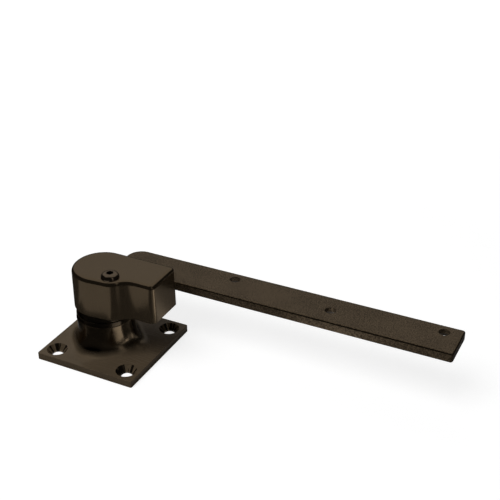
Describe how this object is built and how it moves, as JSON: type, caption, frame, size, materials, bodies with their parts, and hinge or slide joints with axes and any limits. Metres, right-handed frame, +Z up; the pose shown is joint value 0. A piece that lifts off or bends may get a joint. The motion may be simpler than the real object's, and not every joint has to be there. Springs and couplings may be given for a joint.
{
  "type": "pivot hinge",
  "caption": "Floor-mounted pivot hinge for a heavy door: a flared square floor plate carries a covered bearing knuckle, whose long flat arm screws under the door.",
  "frame": {"origin": "on the pivot axis, at the underside of the floor plate", "axes": "+Z up along the pivot axis, +X along the door arm with the door shut, +Y towards the door's face"},
  "size_m": [0.2412, 0.088, 0.0611],
  "materials": {
    "bronzed_casting": "dark bronze satin plating on a machined casting",
    "bronzed_arm": "dark bronze plating, finely blasted",
    "bronzed_band": "dark bronze plating, turned",
    "ground_steel": "ground steel",
    "bearing_steel": "polished bearing steel",
    "spring_steel": "blued spring steel",
    "cage_brass": "stamped brass",
    "black_screw": "blackened steel",
    "seal_rubber": "moulded nitrile rubber"
  },
  "bodies": {
    "base": {"floor_plate": "bronzed_casting", "pivot_spindle": "ground_steel", "spindle_dowel": "ground_steel", "lower_race": "bearing_steel", "dust_band": "bronzed_band", "retaining_ring": "spring_steel"},
    "ball_set": {"ball_cage": "cage_brass", "bearing_balls": "bearing_steel"},
    "needle_set": {"needle_cage": "cage_brass", "needle_rollers": "bearing_steel"},
    "arm": {"upper_race": "bronzed_band", "height_shim": "ground_steel", "door_arm": "bronzed_arm", "arm_screws": "black_screw", "grease_seal": "seal_rubber", "knuckle_block": "bronzed_arm", "needle_shell": "bearing_steel", "top_washer": "ground_steel", "cap_dowels": "ground_steel", "knuckle_cap": "bronzed_casting", "cap_screw": "black_screw"}
  },
  "joints": [
    {"name": "arm_swing", "type": "hinge", "parent": "base", "child": "arm", "pos_m": [0, 0, 0.03], "axis": [0, 0, 1], "continuous": true},
    {"name": "ball_cage_turn", "type": "hinge", "parent": "base", "child": "ball_set", "pos_m": [0, 0, 0.028], "axis": [0, 0, 1], "continuous": true},
    {"name": "needle_cage_turn", "type": "hinge", "parent": "base", "child": "needle_set", "pos_m": [0, 0, 0.045], "axis": [0, 0, 1], "continuous": true}
  ],
  "couplings": [
    {"joint": "ball_cage_turn", "follows": "arm_swing", "ratio": 0.5},
    {"joint": "needle_cage_turn", "follows": "arm_swing", "ratio": 0.5747}
  ]
}
